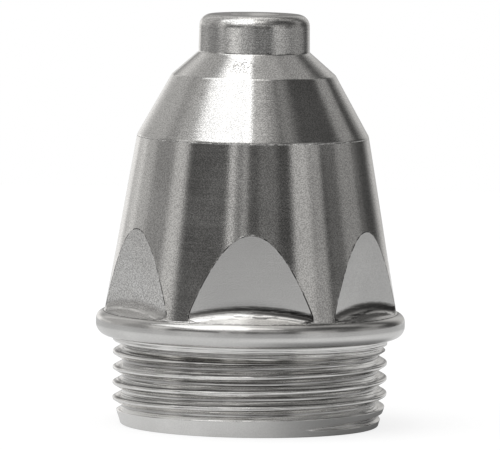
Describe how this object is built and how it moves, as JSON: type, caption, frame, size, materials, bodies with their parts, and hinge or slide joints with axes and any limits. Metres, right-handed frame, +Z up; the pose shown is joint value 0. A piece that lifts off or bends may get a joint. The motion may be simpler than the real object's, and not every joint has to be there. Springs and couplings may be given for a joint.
{
  "type": "plasma torch nozzle",
  "caption": "one-piece plasma torch nozzle with a stepped conical tip, wrench flats, a round flange and a threaded base",
  "frame": {"origin": "middle of the base end, on the nozzle's axis", "axes": "+Z up along the nozzle's axis towards the orifice, -Y the front, the middle of one wrench flat"},
  "size_m": [0.0202, 0.0202, 0.0269],
  "materials": {
    "plated_copper": "nickel-plated copper, satin turned cones and brighter flats, flange and thread"
  },
  "bodies": {
    "root": {"nozzle": "plated_copper"}
  },
  "joints": []
}
